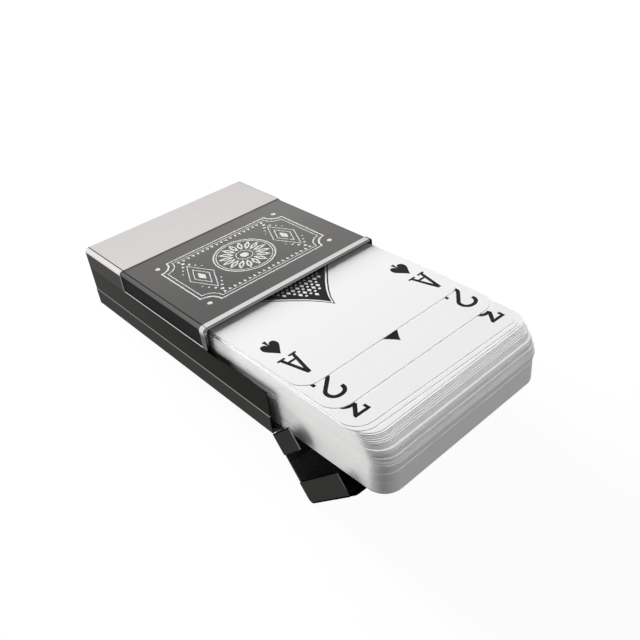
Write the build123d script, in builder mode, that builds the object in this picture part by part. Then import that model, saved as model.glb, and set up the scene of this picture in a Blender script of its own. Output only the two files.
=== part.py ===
"""Flip-top metal case for one deck of playing cards, lying on its back with the lid open.

Millimetres.  X runs across the case, +Y to its closed rear end, -Y to its mouth, Z up out of the
printed panel.  The origin is the middle of the flat back face that the case rests on.
"""
import os
from math import cos, radians, sin, tan

from build123d import *

# Deck of cards
card_width = 58.0
card_length = 88.0
card_thickness = 0.315
card_corner = 5.3
card_count = 55
squared_count = 30

# How far the front ends stand out of the case's front end
ace_out = 11.75
two_out = 22.9
three_out = 30.7
fourth_out = 31.95

# The same from the fifth card down, by number from the top, even between two entries
deck_profile = (
    (5, 32.95), (6, 33.4), (8, 33.8), (11, 34.9), (15, 35.25), (16, 35.95), (18, 36.3), (21, 36.4),
    (22, 36.8), (24, 36.9), (28, 37.35), (29, 37.35), (35, 36.85), (36, 36.97), (55, 36.95),
)

# Turn of the cards about Z in degrees, and how far they lie to the right of the middle
ace_turn = 0.7
two_turn = 0.2
three_turn = -0.8
fourth_turn = -0.7
deck_turn = 0.8
upper_aside = 0.3
deck_aside = -0.1

# Sheets and plates
shell_wall = 0.6
skin = 0.5
roof = 0.3
floor = 1.2
liner_wall = 0.25
liner_floor = 0.85
lid_sheet = 0.35
lining = 0.2

# Clearances
side_play = 1.15
upper_play = 0.95
end_play = 2.4
headroom = 0.3
lid_play = 0.05
pin_play = 0.03
rivet_play = 0.03
knuckle_play = 0.25
leaf_play = 0.2
lining_play = 0.3

# Heights and lengths along the case
parting_height = 5.8
window_height = 13.65
band_length = 22.1
mouth_setback = 24.8
trim_width = 1.9
edge_round = 1.25
inner_round = 0.8
bottom_round = 0.3
ledge = 0.1
ledge_bevel = 0.2
edge_break = 0.12
lip_round = 0.22
inlay_recess = 0.3
liner_set_down = 2.2
wall_set_down = 0.4

# Lid
lid_drop = 52.7
lid_fold = 83.8
lid_corner_round = 1.5
wall_length = 20.35
panel_length = 24.9
near_tab_height = 6.1
near_tab_length = 10.2
far_tab_start = 14.15
far_tab_length = 21.6
tongue_round = 1.0
tab_overlap = 0.1

# Hinge
pin_radius = 0.45
pin_ahead = 1.4
pin_overhang = 0.2
corner_behind_pin = 0.7
corner_below_pin = 0.3
knuckle_radius = 0.8
knuckle_lift = 0.05
knuckle_count = 5
leaf_thickness = 0.4
leaf_reach = 7.0
rivet_radius = 0.7
rivet_head_radius = 1.2
rivet_head = 0.3

# Sizes that follow from the ones above
inner_half = card_width / 2 + side_play + liner_wall
half = inner_half + shell_wall
carrier_half = half - skin
upper_inner_half = card_width / 2 + upper_play
lower_half = half + ledge
deck_bottom = floor + liner_floor
deck_top = deck_bottom + card_count * card_thickness
roof_under = deck_top + headroom
roof_top = roof_under + roof
height = roof_top + skin
case_length = card_length + shell_wall + end_play
rear = case_length / 2
front = -case_length / 2
mouth = front + mouth_setback
trim_rear = mouth + trim_width
trim_step = mouth + trim_width / 2
band_front = rear - band_length
lid_half = lower_half + lid_play + lid_sheet
pin_y = front - pin_ahead
pin_z = knuckle_radius + knuckle_lift

# The lid's own plane: x along the end wall away from the hinge, y into the lid
lid_corner = Vector(0, pin_y + corner_behind_pin, pin_z - corner_below_pin)
wall_direction = Vector(0, -cos(radians(lid_drop)), -sin(radians(lid_drop)))
lid_plane = Plane(origin=lid_corner, x_dir=wall_direction, z_dir=(-1, 0, 0))
pin_local = lid_plane.to_local_coords(Vector(0, pin_y, pin_z))
wall_start = pin_local.X + knuckle_radius + leaf_play


def lid_point(along, out):
    """A point of the lid's side view: along the end wall, then out along the panel."""
    return (along - out * cos(radians(lid_fold)), out * sin(radians(lid_fold)))


def arch(half_width, bottom, top, corner):
    """Cross-section of an upside-down U, filled, with its two top corners rounded."""
    with BuildSketch() as section:
        with BuildLine():
            Polyline(
                (-half_width, bottom), (-half_width, top), (half_width, top), (half_width, bottom), close=True
            )
        make_face()
        fillet(section.vertices().group_by(Axis.Y)[-1], corner)
    return section.sketch


def cover(outer_half, top, thickness, corner, start, length):
    """Thin cover folded over the top and down both upper sides, running towards the mouth."""
    with BuildPart() as sheet:
        with BuildSketch(Plane.XZ.offset(-start)):
            add(arch(outer_half, window_height, top, corner))
            add(
                arch(outer_half - thickness, window_height, top - thickness, corner - thickness),
                mode=Mode.SUBTRACT,
            )
        extrude(amount=length)
    return sheet.part


def outer_front_edges(sheet, front_end, inner_top):
    """Edges of a cover's front end that lie on its outer side, from foot to foot."""
    ends = sheet.edges().filter_by(lambda edge: abs(edge.center().Y - front_end) < 0.001)
    return ends.filter_by(
        lambda edge: edge.center().Z > inner_top + 0.001 or abs(edge.center().X) > half - skin / 2
    ).filter_by(lambda edge: edge.length > skin)


def slab(x0, x1, y0, y1, z0, z1, mode=Mode.ADD):
    """Rectangular block between two corners, in the part being built."""
    with BuildSketch(Plane.XY.offset(z0)) as base:
        with Locations(((x0 + x1) / 2, (y0 + y1) / 2)):
            Rectangle(x1 - x0, y1 - y0)
    extrude(base.sketch, amount=z1 - z0, mode=mode)


def stands_out(number):
    """How far the card with this number from the top stands out of the case's front end."""
    for (upper, upper_out), (lower, lower_out) in zip(deck_profile, deck_profile[1:]):
        if number <= lower:
            return upper_out + (lower_out - upper_out) * (number - upper) / (lower - upper)
    return deck_profile[-1][1]


def playing_card(number, out, turn, aside):
    """One card with rounded corners: its number from the top, how far it stands out, its turn, its X."""
    with BuildPart() as sheet:
        with BuildSketch(Plane.XY.offset(deck_top - number * card_thickness)):
            with Locations((aside, front - out + card_length / 2)):
                RectangleRounded(card_width, card_length, card_corner, rotation=turn)
        extrude(amount=card_thickness)
    return sheet.part


def save(shape, name):
    """Label a piece and write it to its own file."""
    shape.label = name
    export_step(shape, "parts/" + name + ".step")


os.makedirs("parts", exist_ok=True)

# Lower shell: floor, two side walls and a rear wall, open towards the mouth
with BuildPart() as lower_shell:
    slab(-lower_half, lower_half, front - ledge, rear + ledge, 0, parting_height)
    long_edges = lower_shell.edges().filter_by(Axis.Y).group_by(Axis.Z)[0]
    rear_edge = lower_shell.edges().filter_by(Axis.X).group_by(Axis.Z)[0].sort_by(Axis.Y)[-1:]
    fillet(long_edges + rear_edge, bottom_round)
    rim = lower_shell.edges().group_by(Axis.Z)[-1]
    chamfer(rim.filter_by(Axis.Y) + rim.filter_by(Axis.X).sort_by(Axis.Y)[-1:], ledge_bevel)
    slab(
        -inner_half, inner_half, front - 1, rear - shell_wall, floor, parting_height + 1, mode=Mode.SUBTRACT
    )
    rivet_y = front + leaf_reach / 2
    with BuildSketch(Plane.XY):
        with GridLocations(card_width / 4, 1, 4, 1):
            with Locations((0, rivet_y)):
                Circle(rivet_radius + rivet_play)
    extrude(amount=floor, mode=Mode.SUBTRACT)
save(lower_shell.part, "lower_shell")

# Middle shell: side walls to the front end, a thinner upper part that carries the covers, rear wall
with BuildPart() as middle_shell:
    slab(-half, half, front, rear, parting_height, window_height)
    slab(
        -inner_half, inner_half, front - 1, rear - shell_wall, parting_height - 1, window_height,
        mode=Mode.SUBTRACT,
    )
    with BuildSketch(Plane.XZ.offset(-rear)):
        add(arch(carrier_half, window_height - shell_wall, roof_top, edge_round + ledge_bevel))
        add(arch(upper_inner_half, window_height - shell_wall, roof_under, inner_round), mode=Mode.SUBTRACT)
    extrude(amount=rear - trim_step)
    with BuildSketch(Plane.XZ.offset(-rear)):
        add(arch(carrier_half, window_height - shell_wall, roof_top, edge_round + ledge_bevel))
    extrude(amount=shell_wall)
    slab(-half, half, front, mouth, window_height - wall_set_down, window_height, mode=Mode.SUBTRACT)
    wall_ends = middle_shell.edges().filter_by(Axis.Z).group_by(Axis.Y)[0]
    fillet(wall_ends.filter_by(lambda edge: abs(edge.center().X) > inner_half + edge_break), edge_break)
save(middle_shell.part, "middle_shell")

# Covers over the top: the light rear band and the dark inlay, set back a little
with BuildPart() as rear_band:
    add(cover(half, height, skin, edge_round, rear, band_length))
    fillet(outer_front_edges(rear_band, band_front, height - skin), edge_break)
save(rear_band.part, "rear_band")

front_inlay = cover(
    half - inlay_recess, height - inlay_recess, skin - inlay_recess, edge_round - inlay_recess,
    band_front, band_front - trim_rear,
)
save(front_inlay, "front_inlay")

# Mouth trim: its rear half laps over the middle shell, its front half closes the shell's end
with BuildPart() as mouth_trim:
    add(cover(half, height, skin, edge_round, trim_rear, trim_width))
    with BuildSketch(Plane.XZ.offset(-trim_step)):
        add(arch(half - skin / 2, window_height, height - skin / 2, edge_round - skin / 2))
        add(arch(upper_inner_half, window_height, roof_under, inner_round), mode=Mode.SUBTRACT)
    extrude(amount=trim_width / 2)
    fillet(outer_front_edges(mouth_trim, mouth, height - skin), lip_round)
save(mouth_trim.part, "mouth_trim")

# Case liner: black tray that the cards run in; its floor stops short of the hinge leaf
with BuildPart() as case_liner:
    slab(
        -inner_half, inner_half, front + liner_set_down, rear - shell_wall, floor,
        window_height - liner_set_down,
    )
    slab(
        -inner_half + liner_wall, inner_half - liner_wall, front - 1, rear, deck_bottom, height,
        mode=Mode.SUBTRACT,
    )
    slab(
        -inner_half + liner_wall, inner_half - liner_wall, front - 1, front + leaf_reach + lining_play,
        0, height, mode=Mode.SUBTRACT,
    )
save(case_liner.part, "case_liner")

# Hinge: knuckles take turns along the pin, the odd ones on the case and the even ones on the lid
hinge_length = 2 * inner_half
knuckle_pitch = hinge_length / knuckle_count
knuckle_length = knuckle_pitch - knuckle_play
knuckle_centres = [(i - (knuckle_count - 1) / 2) * knuckle_pitch for i in range(knuckle_count)]
case_knuckles = knuckle_centres[0::2]
lid_knuckles = knuckle_centres[1::2]
leaf_half = inner_half - liner_wall - leaf_play


def knuckle_row(centres, centre_y, centre_z):
    """Solid round knuckles in the part being built, at the given places along the pin."""
    for centre in centres:
        with BuildSketch(Plane.YZ.offset(centre - knuckle_length / 2)) as ring:
            with Locations((centre_y, centre_z)):
                Circle(knuckle_radius)
        extrude(ring.sketch, amount=knuckle_length)


def pin_bore():
    """Bore for the pin through every knuckle of the part being built."""
    with BuildSketch(Plane.YZ.offset(-hinge_length)) as bore:
        with Locations((pin_y, pin_z)):
            Circle(pin_radius + pin_play)
    extrude(bore.sketch, amount=2 * hinge_length, mode=Mode.SUBTRACT)


with BuildPart() as case_hinge_leaf:
    slab(
        -leaf_half, leaf_half, pin_y + knuckle_radius + leaf_play, front + leaf_reach, floor,
        floor + leaf_thickness,
    )
    for centre in case_knuckles:
        low = max(centre - knuckle_length / 2, -leaf_half)
        high = min(centre + knuckle_length / 2, leaf_half)
        slab(low, high, pin_y, front, floor, floor + leaf_thickness)
    knuckle_row(case_knuckles, pin_y, pin_z)
    pin_bore()
    with BuildSketch(Plane.XY.offset(floor)):
        with GridLocations(card_width / 4, 1, 4, 1):
            with Locations((0, rivet_y)):
                Circle(rivet_radius + rivet_play)
    extrude(amount=leaf_thickness, mode=Mode.SUBTRACT)
save(case_hinge_leaf.part, "case_hinge_leaf")

with BuildPart() as hinge_pin:
    with BuildSketch(Plane.YZ.offset(-hinge_length / 2 - pin_overhang)):
        with Locations((pin_y, pin_z)):
            Circle(pin_radius)
    extrude(amount=hinge_length + 2 * pin_overhang)
    chamfer(hinge_pin.edges().filter_by(GeomType.CIRCLE), pin_overhang / 2)
save(hinge_pin.part, "hinge_pin")

with BuildPart() as case_hinge_rivets:
    with BuildSketch(Plane.XY):
        with GridLocations(card_width / 4, 1, 4, 1):
            with Locations((0, rivet_y)):
                Circle(rivet_radius)
    extrude(amount=floor + leaf_thickness)
    with BuildSketch(Plane.XY.offset(floor + leaf_thickness)):
        with GridLocations(card_width / 4, 1, 4, 1):
            with Locations((0, rivet_y)):
                Circle(rivet_head_radius)
    extrude(amount=rivet_head)
save(case_hinge_rivets.part, "case_hinge_rivets")

# Lid shell: end wall and top panel folded from one sheet, with a near and a far tab on both sides
fold_in = lid_sheet / tan(radians(lid_fold) / 2)
panel_end = lid_point(wall_length, panel_length)
panel_end_in = (
    panel_end[0] - lid_sheet * sin(radians(lid_fold)), panel_end[1] - lid_sheet * cos(radians(lid_fold))
)
with BuildPart() as lid_shell:
    with BuildSketch(lid_plane) as fold:
        with BuildLine():
            Polyline(
                (wall_start, 0), (wall_length, 0), panel_end, panel_end_in,
                (wall_length - fold_in, lid_sheet), (wall_start, lid_sheet), close=True,
            )
        make_face()
        fillet(fold.vertices().sort_by_distance((wall_length, 0))[:1], lid_corner_round)
        inner_corner = fold.vertices().sort_by_distance((wall_length - fold_in, lid_sheet))[:1]
        fillet(inner_corner, lid_corner_round - lid_sheet)
    extrude(amount=lid_half - lid_sheet + tab_overlap, both=True)
    tongue_edges = lid_shell.edges().filter_by(
        lambda edge: abs(edge.length - lid_sheet) < 0.01
        and (edge.center() - lid_plane.from_local_coords(Vector(*panel_end_in, 0))).dot(wall_direction) > -2
        and lid_plane.to_local_coords(edge.center()).Y > panel_end[1] - 1
    )
    fillet(tongue_edges, tongue_round)
    for side in (-1, 1):
        outside = lid_plane.offset(side * (lid_half - lid_sheet / 2) - lid_sheet / 2)
        with BuildSketch(outside):
            with BuildLine():
                Polyline(
                    (0, 0), lid_point(0, near_tab_length), lid_point(near_tab_height, near_tab_length),
                    (near_tab_height, 0), close=True,
                )
            make_face()
        with BuildSketch(outside) as far_tab:
            with BuildLine():
                Polyline(
                    (far_tab_start, 0), lid_point(far_tab_start, far_tab_length),
                    lid_point(wall_length, far_tab_length), (wall_length, 0), close=True,
                )
            make_face()
            fillet(far_tab.vertices().sort_by_distance((wall_length, 0))[:1], lid_corner_round)
        extrude(amount=lid_sheet)
    lid_rivet_plane = Plane(
        origin=lid_plane.from_local_coords(Vector(wall_start + leaf_reach / 2, 0, 0)), x_dir=(1, 0, 0),
        z_dir=lid_plane.y_dir,
    )
    lid_rivet_places = [
        (centre + offset, 0) for centre in lid_knuckles for offset in (-knuckle_length / 4, knuckle_length / 4)
    ]
    with BuildSketch(lid_rivet_plane):
        with Locations(lid_rivet_places):
            Circle(rivet_radius + rivet_play)
    extrude(amount=lid_sheet, mode=Mode.SUBTRACT)
save(lid_shell.part, "lid_shell")

# Lid hinge leaf on the inner face of the end wall
with BuildPart() as lid_hinge_leaf:
    with BuildSketch(lid_plane):
        with BuildLine():
            Polyline(
                (wall_start, lid_sheet), (wall_start + leaf_reach, lid_sheet),
                (wall_start + leaf_reach, lid_sheet + leaf_thickness),
                (wall_start, lid_sheet + leaf_thickness), close=True,
            )
        make_face()
    extrude(amount=lid_knuckles[-1] + knuckle_length / 2, both=True)
    for centre in lid_knuckles:
        with BuildSketch(lid_plane.offset(centre - knuckle_length / 2)):
            with BuildLine():
                Polyline(
                    (pin_local.X, lid_sheet), (wall_start, lid_sheet), (wall_start, lid_sheet + leaf_thickness),
                    (pin_local.X, lid_sheet + leaf_thickness), close=True,
                )
            make_face()
        extrude(amount=knuckle_length)
    knuckle_row(lid_knuckles, pin_y, pin_z)
    pin_bore()
    with BuildSketch(lid_rivet_plane.offset(lid_sheet)):
        with Locations(lid_rivet_places):
            Circle(rivet_radius + rivet_play)
    extrude(amount=leaf_thickness, mode=Mode.SUBTRACT)
save(lid_hinge_leaf.part, "lid_hinge_leaf")

with BuildPart() as lid_hinge_rivets:
    with BuildSketch(lid_rivet_plane):
        with Locations(lid_rivet_places):
            Circle(rivet_radius)
    extrude(amount=lid_sheet + leaf_thickness)
    with BuildSketch(lid_rivet_plane.offset(lid_sheet + leaf_thickness)):
        with Locations(lid_rivet_places):
            Circle(rivet_head_radius)
    extrude(amount=rivet_head)
save(lid_hinge_rivets.part, "lid_hinge_rivets")

# Black linings inside the lid, clear of the rounded corner
lining_half = lid_half - lid_sheet - lid_play
lining_start = wall_start + leaf_reach + lining_play
lining_stop = lid_corner_round + lid_sheet + lining_play
with BuildPart() as lid_end_lining:
    with BuildSketch(lid_plane):
        with BuildLine():
            Polyline(
                (lining_start, lid_sheet), (wall_length - lining_stop, lid_sheet),
                (wall_length - lining_stop, lid_sheet + lining), (lining_start, lid_sheet + lining),
                close=True,
            )
        make_face()
    extrude(amount=lining_half, both=True)
save(lid_end_lining.part, "lid_end_lining")

panel_direction = lid_plane.x_dir * -cos(radians(lid_fold)) + lid_plane.y_dir * sin(radians(lid_fold))
panel_plane = Plane(
    origin=lid_plane.from_local_coords(Vector(wall_length, 0, 0)), x_dir=panel_direction, z_dir=(-1, 0, 0)
)
with BuildPart() as lid_panel_lining:
    with BuildSketch(panel_plane):
        with BuildLine():
            Polyline(
                (lining_stop, lid_sheet), (far_tab_length, lid_sheet),
                (far_tab_length, lid_sheet + lining), (lining_stop, lid_sheet + lining), close=True,
            )
        make_face()
    extrude(amount=lining_half, both=True)
save(lid_panel_lining.part, "lid_panel_lining")

# Cards on top, drawn out one behind the other
top_cards = {
    "ace_of_spades": (ace_out, ace_turn, 0),
    "two_of_spades": (two_out, two_turn, upper_aside),
    "three_of_spades": (three_out, three_turn, upper_aside),
    "fourth_card": (fourth_out, fourth_turn, 0),
    "fifth_card": (stands_out(5), deck_turn, deck_aside),
}
for place, (name, lie) in enumerate(top_cards.items()):
    save(playing_card(place + 1, *lie), name)

# The rest of the deck in three packs: two staggered ones, and one that is knocked nearly flush
first_squared = card_count - squared_count + 1
first_lower = (len(top_cards) + 1 + first_squared) // 2
packs = {
    "upper_staggered_cards": range(len(top_cards) + 1, first_lower),
    "lower_staggered_cards": range(first_lower, first_squared),
    "squared_cards": range(first_squared, card_count + 1),
}
for name, numbers in packs.items():
    save(Compound([playing_card(n, stands_out(n), deck_turn, deck_aside) for n in numbers]), name)
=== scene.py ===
"""Looks of the flip-top playing card case: metal finishes, printed cards, panel ornament and studio."""
import random
from functools import reduce
from math import atan, atan2, cos, pi, radians, sin

import bmesh
import bpy
from bpy.props import FloatProperty, FloatVectorProperty, IntProperty, PointerProperty
from bpy.types import NodeSocket, Operator, Panel, PropertyGroup
from mathutils import Matrix, Vector
from mathutils.geometry import interpolate_bezier


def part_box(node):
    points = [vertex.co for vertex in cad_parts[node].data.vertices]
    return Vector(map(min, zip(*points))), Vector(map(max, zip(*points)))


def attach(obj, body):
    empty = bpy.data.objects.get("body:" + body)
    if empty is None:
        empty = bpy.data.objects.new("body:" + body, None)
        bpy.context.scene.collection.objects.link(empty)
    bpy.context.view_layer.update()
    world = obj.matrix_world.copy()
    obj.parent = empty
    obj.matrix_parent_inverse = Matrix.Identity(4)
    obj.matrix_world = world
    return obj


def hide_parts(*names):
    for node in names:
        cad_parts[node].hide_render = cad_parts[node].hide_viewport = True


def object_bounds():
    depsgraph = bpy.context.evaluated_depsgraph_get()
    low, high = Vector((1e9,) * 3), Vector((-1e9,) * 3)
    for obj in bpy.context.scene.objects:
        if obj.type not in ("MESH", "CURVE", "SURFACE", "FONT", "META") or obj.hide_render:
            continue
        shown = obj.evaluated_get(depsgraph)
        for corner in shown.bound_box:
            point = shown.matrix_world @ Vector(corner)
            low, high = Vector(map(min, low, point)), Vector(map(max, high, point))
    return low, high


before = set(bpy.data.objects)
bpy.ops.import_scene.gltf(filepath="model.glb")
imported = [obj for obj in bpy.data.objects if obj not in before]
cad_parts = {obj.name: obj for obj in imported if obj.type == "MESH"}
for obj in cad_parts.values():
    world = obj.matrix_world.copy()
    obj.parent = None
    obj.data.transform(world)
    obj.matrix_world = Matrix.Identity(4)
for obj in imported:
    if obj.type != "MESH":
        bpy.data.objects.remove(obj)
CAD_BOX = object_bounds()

bl_info = {
    "name": "Card Case",
    "version": (1, 0, 0),
    "blender": (4, 5, 0),
    "location": "3D View > Sidebar > Card Case",
    "description": "Finishes, prints and studio for a flip-top playing card case",
    "category": "Object",
}

MM = 0.001
# Handle of a smooth quarter circle, as a share of its radius
ROUND_HANDLE = 0.5523

# Places that the finishes line up with, read from the packed nodes
BAND_LOW, BAND_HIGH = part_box("rear_band")
INLAY_LOW, INLAY_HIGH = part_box("front_inlay")
TRIM_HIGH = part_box("mouth_trim")[1]
LOWER_LOW, LOWER_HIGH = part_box("lower_shell")
LINER_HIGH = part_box("case_liner")[1]
LID_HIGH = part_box("lid_shell")[1]
ACE_LOW, ACE_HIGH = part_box("ace_of_spades")
CARD_THICKNESS = ACE_HIGH.z - ACE_LOW.z

CARD_BODIES = {
    "ace_of_spades": "ace",
    "two_of_spades": "two",
    "three_of_spades": "three",
    "fourth_card": "staggered_deck",
    "fifth_card": "staggered_deck",
    "upper_staggered_cards": "staggered_deck",
    "lower_staggered_cards": "staggered_deck",
    "squared_cards": "squared_deck",
}
LOWER_PACKS = ("lower_staggered_cards", "squared_cards")
ALL_PACKS = ("upper_staggered_cards", *LOWER_PACKS)
# Index of each printed card, and how far its print lies to the right and to the rear in millimetres
CARD_FACES = {
    "ace_of_spades": ("A", (0.4, 0.65)),
    "two_of_spades": ("2", (0.2, 0)),
    "three_of_spades": ("3", (0.2, 0)),
    "fourth_card": ("4", (0.2, 0)),
    "fifth_card": ("5", (0.2, 0)),
}
# Slopes of the lid's end wall and of its panel in the photographed pose
LID_WALL, LID_PANEL = radians(52.7), radians(136.5)


# Properties

def screen(red, green, blue):
    """Linear colour of an 8-bit screen colour."""
    shares = (value / 255 for value in (red, green, blue))
    return tuple(s / 12.92 if s <= 0.04045 else ((s + 0.055) / 1.055) ** 2.4 for s in shares)


def number(name, description, default, **settings):
    """Property that holds a number."""
    return FloatProperty(name=name, description=description, default=default, **settings)


def length(name, description, millimetres):
    """Length property, written in millimetres and kept in metres."""
    return number(name, description, millimetres * MM, unit="LENGTH", subtype="DISTANCE", precision=5)


def share(name, description, default):
    """Property from 0 to 1."""
    return number(name, description, default, min=0, max=1, subtype="FACTOR")


def power(name, description, watts):
    """Property for a lamp's power."""
    return number(name, description, watts, min=0, unit="POWER")


def triple(name, description, default, **settings):
    """Property that holds three numbers."""
    return FloatVectorProperty(name=name, description=description, default=default, **settings)


def colour(name, description, *tone):
    """Colour property, written as an 8-bit screen colour."""
    return triple(name, description, screen(*tone), subtype="COLOR", min=0, max=1)


class CaseFinish(PropertyGroup):
    """Finishes of the metal case and its linings"""
    silver: colour("Silver", "Satin top of the rear band", 229, 225, 224)
    # Painted highlight on the rounded edges of the rear band
    polished: colour("Polished", "Rounded edges of the rear band", 239, 238, 237)
    lip: colour("Lip", "Top of the mouth trim", 223, 222, 221)
    band_side: colour("Band side", "Sides of the rear band", 87, 85, 84)
    panel: colour("Panel", "Top of the printed panel", 118, 117, 116)
    panel_round: colour("Panel edge", "Rounded edges of the printed panel", 110, 110, 109)
    panel_side: colour("Panel side", "Sides of the printed panel", 50, 50, 50)
    # Painted reflection on the lip's upright front face
    lip_front: colour("Lip front", "Front edge of the mouth trim", 120, 119, 118)
    # Bevelled ledge of bare metal with a painted highlight
    ledge: colour("Ledge", "Bevelled ledge that the panel stands on", 205, 204, 202)
    # Painted shade line where a sheet starts to bend
    scribed: colour("Scribed line", "Dark line where a sheet starts to bend", 40, 39, 38)
    gunmetal: colour("Gunmetal", "Outer faces of the shells and lid", 73, 72, 70)
    # Bare metal on cut and bevelled edges, brightened as a painted highlight
    cut_edge: colour("Cut edge", "Bare metal on cut and bevelled edges", 172, 171, 169)
    # Blackened inner faces; this tone also paints shade lines and dark bends
    inside: colour("Inside", "Blackened inner faces", 12, 12, 12)
    lid_inside: colour("Lid inside", "Inner faces of the lid", 8, 8, 8)
    # Painted light on the inner face of the lid's end wall
    wall_inside: colour("Wall inside", "Inner face of the lid's end wall", 58, 58, 58)
    # Painted light: the end wall's film is lighter than the panel's
    wall_film: colour("Wall film", "Film inside the lid's end wall", 92, 92, 92)
    panel_film: colour("Panel film", "Film inside the lid's panel", 5, 5, 5)
    edge_tint: share("Edge tint", "How bright the metal gets towards its outline", 0.45)
    # The next two set a painted shade on the shells that deepens towards the mouth
    mouth_shade: share("Mouth shade", "Tone of the shells at the mouth, as a share of that at the rear", 0.5)
    rim_shade: share("Rim shade", "The same for the lower shell with its bright rim", 0.92)
    lid_shade: share("Lid shade", "Tone of the lid, as a share of the shells' tone", 0.7)
    flock: colour("Flock", "Flocked liner", 17, 17, 18)
    steel: colour("Steel", "Hinge leaves, pin and rivets", 140, 135, 131)
    bend: length("Bend", "Outside radius where the sheets fold over the long edges", 1.25)
    # Width of that painted shade line
    scribe: length("Scribe width", "Width of the dark line beside the bend", 0.3)
    satin: share("Satin roughness", "Roughness of the satin metal", 0.34)
    lacquer: share("Lacquer roughness", "Roughness of the printed panel", 0.38)
    polish: share("Polish roughness", "Roughness of the mouth trim", 0.22)
    drawn: share("Drawn roughness", "Roughness of the hinge", 0.28)


class CardPrint(PropertyGroup):
    """Card stock and the marks printed on it"""
    stock: colour("Stock", "Coated face of a card", 244, 244, 244)
    # Cut edges a little greyer, darkened further as painted shade on the card ends
    stock_edge: colour("Stock edge", "Cut edge of a card", 210, 210, 209)
    ink: colour("Ink", "Black printing ink", 18, 18, 19)
    corner: length("Corner", "Radius of a card's corners", 5.3)
    rim: length("Rim", "Softening of a card's cut edges", 0.02)
    ink_room: length("Ink room", "Part of a printed card's thickness left free for its ink", 0.014)
    jitter: length("Jitter", "How far a card may lie to one side in the deck", 0.035)
    index_height: length("Index height", "Height of a corner index", 8.87)
    index_inset: length("Index inset", "From a card's end to the top of its index", 3.47)
    index_side: length("Index side", "From the middle of the print to an index", 23.6)
    index_pip_inset: length("Small pip inset", "From a card's end to the tip of its small spade", 14.12)
    small_pip: length("Small pip", "Height of the spade under an index", 7.03)
    centre_pip: length("Centre pip", "Height of the spades in the middle of a card", 12.0)
    centre_pip_inset: length("Centre pip inset", "From a card's end to the tip of its nearest spade", 7.6)
    column: length("Column", "From the middle of the print to a column of spades", 14.0)
    emblem: length("Emblem", "Height of the large spade on the ace", 48.9)
    back_pitch: length("Back pitch", "Pitch of the lattice on the back", 3.0)
    back_border: length("Back border", "White border round the lattice on the back", 3.4)
    seed: IntProperty(name="Seed", description="Start of the deck's random unevenness", default=11)


class PanelOrnament(PropertyGroup):
    """Light ornament printed on the dark panel"""
    foil: colour("Foil", "Light print on the panel", 222, 222, 221)
    width: length("Width", "Outer width of the ornament's frame", 46.0)
    depth: length("Depth", "Outer depth of the ornament's frame", 29.0)
    line: length("Line", "Width of the main lines", 0.42)
    fine_line: length("Fine line", "Width of the fine lines", 0.26)
    thickness: length("Thickness", "Height of the print above the panel", 0.012)
    petals: IntProperty(name="Petals", description="Petals of the middle rosette", default=16, min=3)


class Studio(PropertyGroup):
    """Floor, light and camera"""
    floor: colour("Floor", "Pale floor and backdrop", 250, 250, 250)
    floor_width: length("Floor width", "Width of the floor", 8000)
    sky: share("Sky", "Soft light from all round", 0.04)
    key_power: power("Key power", "Lamp behind the case", 51.5)
    step_shade: share("Step shade", "Part of the key light that the packs of cards keep off each other", 0.5)
    key_direction: triple("Key direction", "Towards the key lamp", (-0.05, 0.95, 0.285), subtype="DIRECTION")
    key_size: length("Key size", "Width of the key lamp", 470)
    side_power: power("Side power", "Lamp at the left, for the light that a bright table throws back", 35.0)
    side_direction: triple("Side direction", "Towards the side lamp", (-0.5, 0.8, -0.27), subtype="DIRECTION")
    side_size: length("Side size", "Width of the side lamp", 1000)
    fill_power: power("Fill power", "Weak lamp at the right in front of the case", 5.9)
    fill_direction: triple("Fill direction", "Towards the lamp", (0.35, -0.92, -0.02), subtype="DIRECTION")
    fill_size: length("Fill size", "Width of the fill lamp", 750)
    lamp_distance: length("Lamp distance", "From the case to each lamp", 1200)
    spot: triple(
        "Camera spot", "Where the camera stands", (-103.917 * MM, -163.594 * MM, 129.881 * MM),
        subtype="TRANSLATION", unit="LENGTH",
    )
    sight: triple("Line of sight", "Where the camera looks", (0.50372, 0.64515, -0.5745), subtype="DIRECTION")
    lens: number("Lens", "Focal length for a 36 mm sensor", 41.81, unit="CAMERA")


# Shader nodes

def feed(node, inputs):
    """Set a node's inputs to values, or link them to other nodes' outputs."""
    for key, value in inputs.items():
        socket = node.inputs[key]
        if isinstance(value, NodeSocket):
            node.id_data.links.new(value, socket)
        elif socket.type == "RGBA":
            socket.default_value = (*value, 1.0)
        else:
            socket.default_value = value


def add(tree, kind, inputs=None, **settings):
    """New node with its settings and inputs."""
    node = tree.nodes.new("ShaderNode" + kind)
    for name, value in settings.items():
        setattr(node, name, value)
    feed(node, inputs or {})
    return node


def axes(vector):
    """X, Y and Z of a vector."""
    return add(vector.id_data, "SeparateXYZ", {0: vector}).outputs


def calc(operation, *values):
    """Result of a maths node."""
    return add(values[0].id_data, "Math", dict(enumerate(values)), operation=operation).outputs[0]


def times(*values):
    """Product of values."""
    return reduce(lambda one, two: calc("MULTIPLY", one, two), values)


def most(*values):
    """Greatest of values."""
    return reduce(lambda one, two: calc("MAXIMUM", one, two), values)


def distance(value):
    """Distance of a value from zero."""
    return calc("ABSOLUTE", value)


def fade(value, low, high, start=0.0, end=1.0):
    """Smooth change from start to end while the value goes from low to high."""
    inputs = {"Value": value, "From Min": low, "From Max": high, "To Min": start, "To Max": end}
    return add(value.id_data, "MapRange", inputs, interpolation_type="SMOOTHSTEP").outputs["Result"]


def fall(value, low, high):
    """Smooth change from 1 to 0 while the value goes from low to high."""
    return fade(value, low, high, 1.0, 0.0)


def beyond(value, level, low, high):
    """Mask that grows from 0 to 1 between low and high millimetres past a level."""
    return fade(value, level + low * MM, level + high * MM)


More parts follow.
